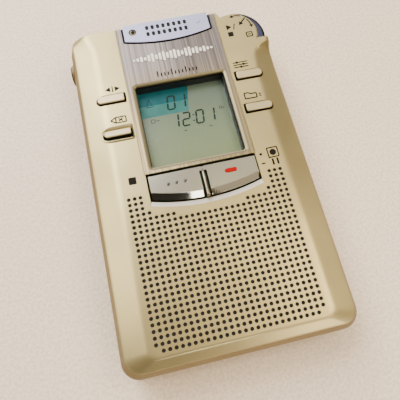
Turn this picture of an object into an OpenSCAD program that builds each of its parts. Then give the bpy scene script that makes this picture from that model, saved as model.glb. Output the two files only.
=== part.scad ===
// Pocket dictation recorder with a solid-state memory, lying on its back with its front face up.
// Millimetres. +X is to the right of the face, +Y towards the microphone end, +Z out of the face.
// The origin is the middle of the back face, which is the plane it rests on.

/* [Body] */
// Width of the case
body_w = 55.2; // [55.2:0.1:56]
// Length of the case
body_l = 90.4; // [90.4:0.1:91]
// Thickness from the back plane to the flat of the front face
body_t = 15; // [15:0.1:15.6]
// Radius of the case corners in plan
corner_r = 4.2; // [3.8:0.1:4.6]
// Wall thickness of the two case halves
wall = 1.2; // [1.1:0.05:1.3]
// Height of the joint between the back and front halves
parting_z = 5; // [4.8:0.1:5]

/* [Front face] */
// Width of the flat between the two side bevels
flat_w = 41.6; // [41:0.2:42]
// Drop of the bevels below the flat
bevel_drop = 1.6; // [1.5:0.1:1.8]
// Plan width of the bevel along the bottom edge, with its rounded edge
bottom_bevel = 3.4; // [3.2:0.1:3.6]
// Width of the brushed trim plate
trim_w = 27.9; // [27.6:0.1:28.2]
// Width of the display window
window_w = 24; // [23.6:0.1:24.2]
// Length of the display window
window_l = 23.6; // [23:0.1:23.8]

/* [Speaker grille] */
// Distance between neighbouring holes
hole_pitch = 1.4; // [1.38:0.01:1.4]
// Diameter of each hole
hole_d = 0.9; // [0.7:0.02:0.9]
// Holes in a full row
hole_columns = 28; // [28:2:28]
// Full rows
full_rows = 20; // [20:1:20]
// Diameter of the loudspeaker
speaker_d = 30; // [28:0.5:30]

/* [Keys] */
// Travel of every push key
key_travel = 0.5; // [0.3:0.1:0.5]
// Height of the small keys above the face
key_height = 0.6; // [0.4:0.1:0.8]
// Length of the small keys' openings
key_l = 7.8; // [7.6:0.1:8]
// Width of the small keys' openings
key_w = 2.9; // [2.7:0.1:3]

/* [Jog dial] */
// Diameter of the dial
dial_d = 16.4; // [16:0.1:16.4]
// Thickness of the dial
dial_t = 2.6; // [2.4:0.1:2.6]
// How far the dial pushes in
dial_travel = 0.8; // [0.5:0.1:0.8]

/* [Power and sockets] */
// Diameter of an AAA cell
cell_d = 10.5; // [10.4:0.1:10.5]
// Length of an AAA cell with its terminal
cell_l = 44.5; // [44:0.1:44.5]
// Bore of the 3.5 mm earphone socket
jack_bore_d = 3.5; // [3.5:0.05:3.6]

/* [Hidden] */
$fn = 48;

half_w = body_w / 2;
half_l = body_l / 2;
hair = 0.01;
edge_r = 1.12;
side_bevel = half_w - flat_w / 2;

// Rows of the grille: the bottom row lies this far above the end of the case
grille_y = -half_l + 4.9;
speaker_y = -24.6;
panel_t = 0.7;
felt_t = 0.22;
baffle_top = body_t - panel_t - felt_t - 0.08;
baffle_t = 0.8;
speaker_z = baffle_top - baffle_t;
panel_margin = 0.6;
fit = 0.05;

// Key positions
upper_key_y = 22.9;
lower_key_y = 12.8;
key_inner_x = 14.75;
key_gap = 0.15;
well_l = 9;
well_w = 4.4;
well_depth = 0.55;

// The wide keys under the display
bar_w = 27.8;
bar_arc_r = 49.6;
bar_depth = 8.75;
bar_centre_y = bar_arc_r - bar_depth;
bar_gap = 0.35;
bar_height = 0.9;
scoop_w = 1.35;
scoop_depth = 0.6;
rib_w = 1.5;
rib_l = 6.5;
rib_top = bar_height + 0.4;

// Trim plate, display and microphone bezel
trim_t = 0.5;
trim_y = 0.25;
window_y = 13.5;
bezel_w = 24;
bezel_arc_r = 45.8;
bezel_y = 38.3;
slot_pitch = 1.53;

// Dial
dial_x = 19.15;
dial_y = 36.85;
dial_room = 0.8;
axle_bore_r = 1.54;
axle_r = 1.5;
axle_head_r = 2.5;
axle_head_t = 0.5;
dial_hollow_r = 2.8;
dial_hollow_t = 0.7;
base_hole_r = 6.6;
base_foot_r = 0.9;
carrier_r = 5;
carrier_bore_r = 1;
dial_switch_w = 8;
dial_top = body_t - 1.4;
dial_bottom = dial_top - dial_t;
dial_floor = dial_bottom - 0.3;
dial_floor_t = 0.8;
carrier_t = 0.7;
carrier_top = dial_bottom - 0.25;
dial_push = dial_travel / sqrt(2);
lobe_x = 18.1;
lobe_y = 36.8;
lobe_r = 6.65;
corner_cut_x = 15.7;
corner_cut_y = 34.2;
corner_cut_r = 1.5;
run_out_r = 5.6;

// Board and display levels
board_top = body_t - 6.1;
board_t = 1;
lcd_t = 1.8;
lcd_top = body_t - 3.5;
switch_h = 2.3;

// Battery bay
cell_x = 20;
cell_z = 6.75;
bay_w = cell_d + 0.3;
bay_end = -half_l + wall;
bay_top = 4.3;
contact_t = 0.25;
contact_w = 6;
contact_low = bay_end + fit + contact_t;
contact_high = bay_top - fit - contact_t;
touch = 0.02;
spring_h = contact_high - contact_low - cell_l - 3 * touch;
door_w = 50.4;
door_t = 1.4;
door_top = 4.6;
rail_w = 0.6;

jack_y = 37;
jack_z = 8.2;
jack_l = 14;
boss_r = 2.95;
boss_out = 0.5;
board_w = 51.2;

// --- Shapes that repeat -------------------------------------------------

// Rectangle with round corners, centred
module rounded_rect(w, l, r) {
    square([w - 2 * r, l], center = true);
    square([w, l - 2 * r], center = true);
    for (x = [-1, 1], y = [-1, 1])
        translate([x * (w / 2 - r), y * (l / 2 - r)]) circle(r);
}

// One level of a case half: how far each side lies inside the plan outline
module level(z, side, bottom, top, r) {
    translate([0, (bottom - top) / 2, z])
        linear_extrude(hair)
            rounded_rect(body_w - 2 * side, body_l - bottom - top, r, $fn = 32);
}

// Solid outer form of the front half, made smaller all round by inset
module front_form(inset = 0) {
    face = body_t - inset - hair;
    slope = (side_bevel - edge_r) / bevel_drop;
    end_slope = (bottom_bevel - edge_r) / bevel_drop;
    side_in = inset * 0.7;
    hull() {
        level(face, side_bevel + side_in, bottom_bevel + side_in, edge_r + inset, 1.3);
        level(face - 0.3, side_bevel - 0.3 * slope + side_in, bottom_bevel - 0.3 * end_slope + side_in,
            0.35 + inset, 1.6);
        level(face - edge_r, side_bevel - edge_r * slope + side_in,
            bottom_bevel - edge_r * end_slope + side_in, inset, 2.4);
        level(face - bevel_drop, edge_r + side_in, edge_r + side_in, inset, 3.2);
        level(face - bevel_drop - 0.35, max(0.33, inset), max(0.33, inset), inset, 3.8);
        level(face - bevel_drop - edge_r, inset, inset, inset, corner_r - inset / 2);
        level(parting_z - inset, inset, inset, inset, corner_r - inset / 2);
    }
}

// Solid outer form of the back half, made smaller all round by inset
module back_form(inset = 0) {
    hull() {
        level(inset, 1.6 + inset, 1.6 + inset, 1.6 + inset, corner_r - 1);
        level(inset + 0.5, 0.5 + inset, 0.5 + inset, 0.5 + inset, corner_r - 0.6);
        level(inset + 1.6, inset, inset, inset, corner_r - inset / 2);
        level(parting_z - hair + inset, inset, inset, inset, corner_r - inset / 2);
    }
}

// Key outline with one round end and one square end, its square end at x = 0
module key_outline(l, w, grow = 0) {
    translate([-grow, -w / 2 - grow]) square([l - w / 2 + grow, w + 2 * grow]);
    translate([l - w / 2, 0]) circle(w / 2 + grow);
}

// Places a small key's shape on the right, or mirrored on the left
module at_key(side, y) {
    translate([0, y, 0]) mirror([side < 0 ? 1 : 0, 0, 0]) translate([key_inner_x, 0, 0]) children();
}

// Plan outline of the wide key opening, smaller by inset: straight above, an arc below
module bar_outline(inset = 0) {
    intersection() {
        translate([-bar_w / 2 + inset, -bar_depth - 1])
            square([bar_w - 2 * inset, bar_depth + 1 - 1.7 * inset]);
        translate([0, bar_centre_y]) circle(bar_arc_r - inset, $fn = 200);
    }
}

// Plan outline of the microphone bezel, smaller by inset: its lower edge is an arc
module bezel_outline(inset = 0) {
    intersection() {
        translate([-bezel_w / 2 + inset, bezel_y - 1]) square([bezel_w - 2 * inset, half_l - bezel_y + 3]);
        translate([0, bezel_y + bezel_arc_r]) circle(bezel_arc_r - inset, $fn = 200);
    }
}

// The front face's flat beside the dial, with the hollow run-out of the bevel
module lobe_outline() {
    translate([lobe_x, lobe_y]) circle(lobe_r);
    difference() {
        translate([flat_w / 2 - 6, corner_cut_y - 6.8]) square([half_w - flat_w / 2 + 5.2, 6.8]);
        translate([half_w - edge_r, corner_cut_y - 6.8]) circle(run_out_r);
    }
    translate([flat_w / 2 - 6, corner_cut_y - 2]) square([8, 6]);
}

// Every grille hole's centre, row by row
function grille_row(row) =
    row < 1 ? [for (c = [1 : hole_columns - 2]) c]
    : row <= full_rows ? [for (c = [0 : hole_columns - 1]) c]
    : let (ends = row == full_rows + 1 ? 8 : row == full_rows + 2 ? 4 : 3)
        [for (c = [0 : hole_columns - 1]) if (c < ends || c >= hole_columns - ends) c];

module grille_holes() {
    for (row = [0 : full_rows + 5], c = grille_row(row))
        translate([(c - (hole_columns - 1) / 2) * hole_pitch, grille_y + row * hole_pitch])
            circle(hole_d / 2, $fn = 16);
}

screw_seat = 2.2;
screw_places = [[-24, 26.6], [24, 26.6], [-11.2, -41], [11.2, -41]];
post_places = [[-23, 9], [23, 9], [-10, 38], [10, 38]];

module at_screws() {
    for (p = screw_places) translate([p[0], p[1], 0]) children();
}

// --- Case ---------------------------------------------------------------

// Plan outline of the perforated panel, larger by grow: an arc above, between two ears
module panel_outline(grow = 0) {
    half = (hole_columns - 1) / 2 * hole_pitch + hole_pitch / 2 + panel_margin / 2 + grow;
    low = grille_y - hole_pitch / 2 - panel_margin / 2 - grow;
    high = grille_y + (full_rows + 5) * hole_pitch + hole_pitch / 2 + grow;
    ear_x = bar_w / 2 + 0.9 - grow;
    difference() {
        translate([-half, low]) square([2 * half, high - low]);
        intersection() {
            translate([-ear_x, low]) square([2 * ear_x, high - low + 1]);
            translate([0, bar_centre_y]) circle(bar_arc_r + scoop_w + 0.4 - grow);
        }
    }
}

module speaker_grille() {
    color("#d2c6a8") translate([0, 0, body_t - panel_t]) linear_extrude(panel_t) difference() {
        panel_outline();
        grille_holes();
    }
}

module grille_felt() {
    color("#222222") translate([0, 0, baffle_top + touch]) linear_extrude(felt_t) panel_outline(-0.1);
}

// The front half's walls, with the flat that runs out to the dial
module front_shell() {
    difference() {
        union() {
            front_form();
            translate([0, 0, body_t - 2.6]) linear_extrude(2.6) lobe_outline();
        }
        front_form(wall);
    }
}

// What stands inside the front half: the screw posts and the speaker's baffle
module front_inside() {
    intersection() {
        union() {
            at_screws() translate([0, 0, parting_z]) cylinder(r = 2, h = body_t);
            translate([0, 0, speaker_z]) linear_extrude(baffle_t) panel_outline(1);
        }
        front_form(0.4);
    }
}

module front_case() {
    color("#cfc3a4") difference() {
        difference() {
            union() {
                front_inside();
                front_shell();
            }
            dial_recess();
        }
        lobe_surround();
        at_screws() translate([0, 0, parting_z - 1]) cylinder(r = 0.75, h = 6.5);
        translate([0, 0, baffle_top]) linear_extrude(3) panel_outline(fit);
        translate([0, speaker_y, speaker_z - 1]) cylinder(r = speaker_d / 2 - 1.6, h = 3);
        front_openings();
        translate([-half_w - 2, jack_y - boss_r - fit, parting_z - 1])
            cube([5, 2 * (boss_r + fit), jack_z + boss_r + fit - parting_z + 1]);
    }
}

// What the trim, display, keys and bezel need cut out of the front
module front_openings() {
    translate([-trim_w / 2 - 0.1, trim_y - 0.1, body_t - trim_t])
        cube([trim_w + 0.2, half_l, trim_t + 1]);
    translate([0, window_y, body_t - 4])
        linear_extrude(5) rounded_rect(window_w + 0.7, window_l + 0.7, 0.9);
    translate([0, 0, body_t - 4]) linear_extrude(6) bar_outline();
    intersection() {
        translate([-bar_w / 2, -bar_depth - 4, body_t - 2]) cube([bar_w, bar_depth + 3, 4]);
        translate([0, bar_centre_y, body_t])
            rotate_extrude($fn = 200)
                polygon([[bar_arc_r - 1, -scoop_depth], [bar_arc_r, -scoop_depth],
                    [bar_arc_r + scoop_w, 0.02], [bar_arc_r + scoop_w, 1], [bar_arc_r - 1, 1]]);
    }
    translate([0, 0, body_t - 6]) linear_extrude(8) bezel_outline(-0.15);
    for (side = [-1, 1], y = [upper_key_y, lower_key_y])
        at_key(side, y) translate([0, 0, body_t - 5]) linear_extrude(7) key_outline(key_l, key_w);
    at_key(-1, lower_key_y) translate([-0.2, 0, body_t - well_depth])
        linear_extrude(2) key_outline(well_l, well_w);
}

// Plan outline of the corner that the dial takes, slanted at its left and rounded at its lower end
module corner_cut() {
    polygon([[corner_cut_x - 1.7, half_l + 0.5], [corner_cut_x, half_l - 2], [corner_cut_x, corner_cut_y],
        [half_w + 1, corner_cut_y], [half_w + 1, half_l + 0.5]]);
    difference() {
        translate([half_w - corner_cut_r, corner_cut_y - corner_cut_r]) square(corner_cut_r + 1);
        translate([half_w - corner_cut_r, corner_cut_y - corner_cut_r]) circle(corner_cut_r);
    }
}

// The space round the dial, with room for its push
module dial_recess() {
    translate([0, 0, dial_floor]) linear_extrude(dial_top + 0.15 - dial_floor) {
        for (push = [0, dial_push + 0.1])
            translate([dial_x - push, dial_y - push]) circle(dial_d / 2 + dial_room);
        corner_cut();
        translate([bezel_w / 2, dial_y + 5.2]) square([half_w, half_l]);
    }
}

// What is cut from the front above the dial: all of the corner but the lobe over the dial
module lobe_surround() {
    translate([0, 0, dial_top - 0.1]) linear_extrude(4) difference() {
        corner_cut();
        translate([lobe_x, lobe_y]) circle(lobe_r);
        translate([corner_cut_x - 1, corner_cut_y - 1])
            square([lobe_x - corner_cut_x + 1, lobe_y - corner_cut_y + 1]);
    }
}

module back_case() {
    color("#c2b595") difference() {
        union() {
            difference() {
                back_form();
                back_form(wall);
            }
            intersection() {
                back_form();
                translate([-half_w, bay_end - 3, 0]) cube([body_w, door_top - bay_end + 3.6, 2.9]);
            }
            for (side = [-1, 1]) {
                translate([side * (cell_x - bay_w / 2 - 0.5) - 0.5, bay_end - 0.5, 1.2])
                    cube([1, bay_top - bay_end + 1, 6.4]);
                translate([side * cell_x - bay_w / 2, bay_top, 1.2]) cube([bay_w, 1, 6.4]);
            }
            intersection() {
                at_screws() cylinder(r = 2.4, h = parting_z - 0.02);
                back_form();
            }
            for (p = post_places) translate([p[0], p[1], wall - 0.2])
                cylinder(r = 1.2, h = board_top - board_t - touch - wall + 0.2);
        }
        for (side = [-1, 1])
            translate([side * cell_x - bay_w / 2, bay_end, -1]) cube([bay_w, bay_top - bay_end, 12]);
        translate([-door_w / 2 - 0.12, -half_l - 1, -1])
            cube([door_w + 0.24, half_l + 1 + door_top + 0.12, 1 + door_t + 0.1]);
        translate([-door_w / 2 - rail_w - 0.12, -half_l - 1, 0.55])
            cube([door_w + 2 * rail_w + 0.24, half_l + 1 + door_top - 1, 0.8]);
        at_screws() {
            translate([0, 0, -1]) cylinder(r = 0.9, h = 10);
            translate([0, 0, -1]) cylinder(r = 1.65, h = 1 + screw_seat);
        }
    }
}

module battery_door() {
    color("#c2b595") difference() {
        union() {
            intersection() {
                back_form();
                translate([-door_w / 2, -half_l - 1, -1]) cube([door_w, half_l + 1 + door_top, 1 + door_t]);
            }
            translate([-door_w / 2 - rail_w, -half_l + 3, 0.7])
                cube([door_w + 2 * rail_w, half_l + door_top - 5, 0.5]);
        }
        for (i = [0 : 4])
            translate([-7, -half_l + 9 + i * 1.6, -0.4]) cube([14, 0.8, 0.8]);
    }
}

module case_screws() {
    color("#8d8d90") at_screws() difference() {
        union() {
            translate([0, 0, screw_seat - 0.6]) cylinder(r = 1.5, h = 0.6);
            translate([0, 0, screw_seat]) cylinder(r = 0.7, h = 7);
        }
        for (a = [0, 90]) rotate(a) translate([-0.9, -0.2, screw_seat - 0.9]) cube([1.8, 0.4, 0.6]);
    }
}

// --- Trim, display and microphone ----------------------------------------

module trim_plate() {
    color("#b9b0aa") translate([0, 0, body_t - trim_t]) linear_extrude(trim_t) difference() {
        translate([-trim_w / 2, trim_y]) square([trim_w, half_l - trim_y - 0.3]);
        translate([0, window_y]) rounded_rect(window_w, window_l, 0.9);
        bezel_outline(-0.3);
    }
}

module display_window() {
    color("#dfe8e4", 0.4) translate([0, window_y, body_t - trim_t - 0.9])
        linear_extrude(0.9) rounded_rect(window_w + 0.5, window_l + 0.5, 0.8);
}

module display_frame() {
    color("#1d1f20") translate([0, window_y, lcd_top]) linear_extrude(body_t - trim_t - 0.9 - lcd_top)
        difference() {
            square([window_w + 2.6, window_l + 2.4], center = true);
            square([window_w - 0.4, window_l - 0.4], center = true);
        }
}

module lcd_module() {
    color("#93a088") translate([-13.2, 0.5, lcd_top - lcd_t]) cube([26.4, 26.2, lcd_t]);
}

module lcd_connectors() {
    color("#5b5f63") for (y = [1, 24.9])
        translate([-12.4, y, board_top]) cube([24.8, 1.3, lcd_top - lcd_t - board_top]);
}

module microphone_bezel() {
    color("#c9cbd8") difference() {
        union() {
            translate([0, 0, body_t - 1.1]) linear_extrude(1.15) intersection() {
                bezel_outline();
                translate([-20, 0]) square([40, half_l + 0.1]);
            }
            translate([-bezel_w / 2, half_l - 1, body_t - 5.4]) cube([bezel_w, 1.1, 5]);
        }
        for (i = [-3.5 : 3.5], y = [41.2, 43.3]) translate([i * slot_pitch, y, body_t - 3]) {
            for (end = [-0.35, 0.35]) translate([0, end, 0]) cylinder(r = 0.4, h = 5, $fn = 16);
            translate([-0.4, -0.35, 0]) cube([0.8, 0.7, 5]);
        }
        translate([-9.5, 42.6, body_t - 3]) cylinder(r = 0.95, h = 5);
    }
}

module microphone() {
    color("#b8b8ba") translate([0, 40.9, board_top + fit + 1.65]) cylinder(r = 2.4, h = 2.7);
}

module microphone_boot() {
    color("#26282a") translate([0, 40.9, board_top + fit]) difference() {
        cylinder(r = 2.95, h = 4.9);
        translate([0, 0, 1.65]) cylinder(r = 2.4, h = 4);
    }
}

module record_lamp() {
    color("#d9c9a0") translate([-9.5, 42.6, board_top]) {
        cylinder(r = 1.3, h = 4.6);
        cylinder(r = 0.85, h = body_t - board_top - 0.8);
        translate([0, 0, body_t - board_top - 0.8]) sphere(r = 0.85);
    }
}

// --- Loudspeaker ----------------------------------------------------------

module speaker_gasket() {
    color("#2a2c2e") translate([0, speaker_y, speaker_z - 0.6]) difference() {
        cylinder(r = speaker_d / 2, h = 0.6);
        translate([0, 0, -1]) cylinder(r = speaker_d / 2 - 1.4, h = 3);
    }
}

module speaker_frame() {
    color("#77797c") translate([0, speaker_y, speaker_z]) rotate_extrude()
        polygon([[speaker_d / 2, -0.6], [speaker_d / 2, -1.3], [speaker_d / 2 - 1.6, -1.5],
            [8.6, -4], [3.2, -4], [3.2, -3.5], [8.2, -3.5],
            [speaker_d / 2 - 2, -1.3], [speaker_d / 2 - 2, -0.6]]);
}

module speaker_cone() {
    color("#3a3733") translate([0, speaker_y, speaker_z]) rotate_extrude()
        polygon([[0, -1.3], [2.4, -1.5], [3.8, -2.3], [5, -2.4], [9.5, -1.2], [11.2, -0.65], [12.4, -1],
            [12.6, -1.2], [12.2, -1.3], [11.2, -0.95], [9.5, -1.5],
            [5, -2.7], [3.8, -2.6], [2.4, -1.8], [0, -1.6]]);
}

module speaker_magnet() {
    color("#55585b") translate([0, speaker_y, speaker_z - 6]) cylinder(r = 7.5, h = 2);
}

// --- Electronics ----------------------------------------------------------

module main_board() {
    color("#2f6b46") translate([0, 0, board_top - board_t]) linear_extrude(board_t) difference() {
        union() {
            translate([0, 24.6]) rounded_rect(board_w, 37.2, 3);
            translate([-13.3, -9.2]) square([26.6, 16]);
        }
        translate([-half_w, jack_y - 3.4]) square([jack_l + 1.2, 6.8]);
        for (side = [-1, 1]) translate([side * 24, 26.6]) circle(2.4);
        translate([0, speaker_y]) circle(speaker_d / 2 + 0.4);
    }
}

module chip(x, y, w, l, h) {
    translate([x - w / 2, y - l / 2, board_top - board_t - h]) cube([w, l, h]);
}

module processor_chip() {
    color("#222426") chip(-5, 17, 11, 11, 1.4);
}

module memory_chip() {
    color("#202224") chip(10, 15, 8, 13.5, 1.1);
}

module audio_chip() {
    color("#242628") chip(-17, 15, 6, 7, 1.3);
}

module crystal() {
    color("#c0c0c4") chip(-5, 29, 3, 8, 1.5);
}

module capacitors() {
    color("#8a6f4a") {
        for (i = [0 : 3]) chip(-21 + i * 2.6, 26, 1.6, 2.4, 1);
        for (i = [0 : 2]) chip(6 + i * 3, 29, 1.8, 3, 1.4);
    }
}

module key_switches() {
    places = [[-18.5, upper_key_y], [-18.5, lower_key_y], [18.3, upper_key_y], [18.3, lower_key_y],
        [-7, -4.2], [7, -4.2]];
    color("#c8c8ca") for (p = places) translate([p[0], p[1], board_top]) {
        translate([-1.75, -1.5, 0]) cube([3.5, 3, 1.6]);
        cylinder(r = 0.8, h = switch_h);
    }
}

module earphone_socket() {
    color("#1b1c1e") difference() {
        union() {
            translate([-half_w + wall + 0.3, jack_y - 3, jack_z - 2.7]) cube([jack_l - 1.3, 6, 5.4]);
            translate([-half_w - 0.8, jack_y, jack_z]) rotate([0, 90, 0]) cylinder(r = 2.5, h = 3);
        }
        translate([-half_w - 1.8, jack_y, jack_z]) rotate([0, 90, 0])
            cylinder(r = jack_bore_d / 2, h = jack_l + 1);
    }
}

// Ring round the socket's mouth, on a block that closes the notch in the front half
module socket_boss() {
    color("#cfc3a4") difference() {
        union() {
            translate([-half_w, jack_y - boss_r, parting_z + touch])
                cube([wall, 2 * boss_r, jack_z + boss_r - parting_z - touch]);
            translate([-half_w - boss_out, jack_y, jack_z])
                rotate([0, 90, 0]) cylinder(r = boss_r, h = boss_out + wall / 2);
        }
        translate([-half_w - 2, jack_y, jack_z]) rotate([0, 90, 0]) cylinder(r = 2.55, h = 5);
    }
}

// --- Batteries ------------------------------------------------------------

// A cell with its raised terminal towards +Y
module cell() {
    rotate([90, 0, 0]) {
        translate([0, 0, -cell_l / 2 + 1]) cylinder(d = cell_d, h = cell_l - 1);
        translate([0, 0, -cell_l / 2]) cylinder(d = 3.8, h = 1.2);
    }
}

module battery_left() {
    color("#3d5a80") translate([-cell_x, contact_high - touch - cell_l / 2, cell_z]) cell();
}

module battery_right() {
    color("#3d5a80") translate([cell_x, contact_low + touch + cell_l / 2, cell_z]) rotate(180) cell();
}

// Conical coil spring along +Z, of round wire
coil_turns = 3;
coil_wire = 0.3;
coil_rings = 60;
coil_sides = 8;
function coil_point(i) = let (t = i / coil_rings, a = 360 * coil_turns * t, r = 3.6 - 1.8 * t)
    [r * cos(a), r * sin(a), coil_wire + (spring_h - 2 * coil_wire) * t];
coil_points = [for (i = [0 : coil_rings], k = [0 : coil_sides - 1])
    let (p = coil_point(i), a = 360 * coil_turns * i / coil_rings, b = 360 * k / coil_sides)
        [p[0] + coil_wire * cos(b) * cos(a), p[1] + coil_wire * cos(b) * sin(a),
            p[2] + coil_wire * sin(b)]];
coil_faces = concat(
    [[for (k = [0 : coil_sides - 1]) k]],
    [for (i = [0 : coil_rings - 1], k = [0 : coil_sides - 1]) let (n = (k + 1) % coil_sides)
        [i * coil_sides + k, (i + 1) * coil_sides + k, (i + 1) * coil_sides + n]],
    [for (i = [0 : coil_rings - 1], k = [0 : coil_sides - 1]) let (n = (k + 1) % coil_sides)
        [i * coil_sides + k, (i + 1) * coil_sides + n, i * coil_sides + n]],
    [[for (k = [coil_sides - 1 : -1 : 0]) coil_rings * coil_sides + k]]);

module coil() {
    polyhedron(coil_points, coil_faces);
}

module battery_spring_left() {
    color("#b9babd") translate([-cell_x, contact_low + touch, cell_z]) rotate([-90, 0, 0]) coil();
}

module battery_spring_right() {
    color("#b9babd") translate([cell_x, contact_high - touch, cell_z]) rotate([90, 0, 0]) coil();
}

module battery_contacts() {
    color("#c4c5c8") for (side = [-1, 1], y = [contact_low - contact_t, contact_high])
        translate([side * cell_x - contact_w / 2, y, cell_z - 4]) cube([contact_w, contact_t, 8]);
}

// --- Jog dial ---------------------------------------------------------------

module jog_dial() {
    color("#9aa0b4") translate([dial_x, dial_y, dial_bottom]) difference() {
        rotate_extrude()
            polygon([[axle_bore_r, 0], [dial_d / 2 - 0.4, 0], [dial_d / 2, 0.4], [dial_d / 2, dial_t - 0.6],
                [dial_d / 2 - 0.6, dial_t], [axle_bore_r, dial_t]]);
        translate([0, 0, dial_t - dial_hollow_t]) cylinder(r = dial_hollow_r, h = 2);
    }
}

// Shouldered axle: its foot in the carrier, its shaft in the dial's bore, its head in the dial's hollow
module dial_axle() {
    head_z = dial_top - dial_hollow_t + 0.05;
    color("#a9abae") translate([dial_x, dial_y, 0]) {
        translate([0, 0, carrier_top - carrier_t]) cylinder(r = carrier_bore_r, h = carrier_t + 0.1);
        translate([0, 0, carrier_top]) cylinder(r = axle_r, h = head_z - carrier_top);
        translate([0, 0, head_z]) cylinder(r = axle_head_r, h = axle_head_t);
    }
}

// Plate that the dial runs over, on three feet that stand on the board
module dial_base() {
    plate_z = dial_floor - dial_floor_t;
    color("#2b2d30") difference() {
        union() {
            intersection() {
                translate([dial_x, dial_y, plate_z]) cylinder(r = dial_d / 2 + 0.8, h = dial_floor_t);
                front_form(wall + fit);
            }
            for (a = [150, 210, 270]) translate([dial_x, dial_y, board_top + touch]) rotate(a)
                translate([dial_d / 2 - 0.2, 0, 0]) cylinder(r = base_foot_r, h = plate_z - board_top);
        }
        translate([dial_x, dial_y, plate_z - 1]) cylinder(r = base_hole_r, h = dial_floor_t + 2);
    }
}

module dial_carrier() {
    color("#303336") translate([dial_x, dial_y, carrier_top - carrier_t]) difference() {
        cylinder(r = carrier_r, h = carrier_t);
        translate([0, 0, -1]) cylinder(r = carrier_bore_r, h = 3);
    }
}

module dial_switch() {
    color("#26292c") translate([dial_x - dial_switch_w / 2, dial_y - dial_switch_w / 2, board_top])
        cube([dial_switch_w, dial_switch_w, carrier_top - carrier_t - 0.1 - board_top]);
}

// --- Keys ---------------------------------------------------------------------

// A small key: its top stands proud of the case and follows the bevel, and a flange keeps it in
module small_key(side, y, grow) {
    stem_z = board_top + switch_h + key_travel + 0.1;
    under = body_t - wall;
    flange_z = under - 0.7;
    intersection() {
        at_key(side, y) translate([0, 0, flange_z]) linear_extrude(5) key_outline(key_l, key_w, -grow);
        translate([0, 0, key_height]) front_form();
    }
    at_key(side, y) translate([1.9, -1, stem_z]) cube([3.4, 2, flange_z + 0.3 - stem_z]);
    at_key(side, y) translate([-0.2, -key_w / 2 - 0.35, flange_z]) cube([key_l - 1.8, key_w + 0.7, 0.6]);
}

module split_button() {
    color("#d2c6a8") small_key(-1, upper_key_y, key_gap);
}

module erase_button() {
    color("#d2c6a8") small_key(-1, lower_key_y, key_gap + 0.15);
}

module mode_button() {
    color("#d2c6a8") small_key(1, upper_key_y, key_gap);
}

module folder_button() {
    color("#d2c6a8") small_key(1, lower_key_y, key_gap);
}

// One of the two wide keys: flat on top, with a broad bevel along its curved edge
module wide_key(side) {
    top = body_t + bar_height;
    seam = 0.06;
    difference() {
        intersection() {
            translate([0, 0, body_t - 1.6]) linear_extrude(4) bar_outline(bar_gap);
            translate([side > 0 ? seam : -20, -20, body_t - 2]) cube([20 - seam, 22, top - body_t + 2]);
            translate([0, bar_centre_y, body_t - 2]) rotate_extrude($fn = 200)
                polygon([[0, 0], [bar_arc_r + 2, 0], [bar_arc_r + 2, 1.6], [bar_arc_r - bar_gap, 1.8],
                    [bar_arc_r - bar_gap - 1.5, 2 + bar_height], [0, 2 + bar_height]]);
        }
        translate([-rib_w / 2 - 0.15, -bar_depth - 1, body_t - 3]) cube([rib_w + 0.3, rib_l + 1.3, 6]);
    }
    translate([side * 7 - 2, -5.6, board_top + switch_h + key_travel + 0.1])
        cube([4, 3, body_t - 1.5 - board_top - switch_h - key_travel - 0.1]);
    translate([side * 10.5 - 1.5, -1.2, body_t - 1.9]) cube([3, 1.5, 0.5]);
}

module stop_key() {
    color("#c9c9cc") {
        wide_key(-1);
        for (x = [-9, -6.9, -4.8])
            translate([x, -3.6, body_t + bar_height - 0.05]) cylinder(r = 0.22, h = 0.17, $fn = 24);
    }
}

module record_key() {
    color("#c9c9cc") difference() {
        wide_key(1);
        translate([6.8, -3.4, body_t + bar_height - 0.3]) linear_extrude(1) record_mark_outline();
    }
}

module record_mark_outline() {
    square([2, 1], center = true);
    for (x = [-1, 1]) translate([x, 0]) circle(0.5);
}

module record_mark() {
    color("#d3202a") translate([6.8, -3.4, body_t + bar_height - 0.3])
        linear_extrude(0.35) record_mark_outline();
}

module key_divider() {
    color("#cfcac0") {
        translate([-rib_w / 2, -bar_depth + 0.1, body_t - 1.8])
            cube([rib_w, rib_l, rib_top - rib_w / 2 + 1.8]);
        translate([-rib_w / 2, -bar_depth - 0.7, body_t - 1.8]) cube([rib_w, 1, 0.57]);
        translate([0, -bar_depth + 0.45, body_t + rib_top - rib_w / 2])
            rotate([-90, 0, 0]) cylinder(r = rib_w / 2, h = rib_l - 0.35);
    }
}

front_case();
speaker_grille();
grille_felt();
back_case();
trim_plate();
display_window();
display_frame();
lcd_module();
lcd_connectors();
microphone_bezel();
microphone();
microphone_boot();
record_lamp();
speaker_frame();
speaker_cone();
speaker_magnet();
speaker_gasket();
main_board();
processor_chip();
memory_chip();
audio_chip();
crystal();
capacitors();
key_switches();
key_divider();
earphone_socket();
socket_boss();
battery_left();
battery_right();
battery_spring_left();
battery_spring_right();
battery_contacts();
case_screws();
dial_switch();
dial_base();
dial_carrier();
dial_axle();
jog_dial();
split_button();
erase_button();
mode_button();
folder_button();
stop_key();
record_key();
record_mark();
battery_door();
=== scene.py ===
"""Pocket dictation recorder on a pale table.

Lengths are in millimetres until build() turns them into metres.
"""

import math

import bmesh
import bpy
from mathutils import Matrix, Vector


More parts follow.
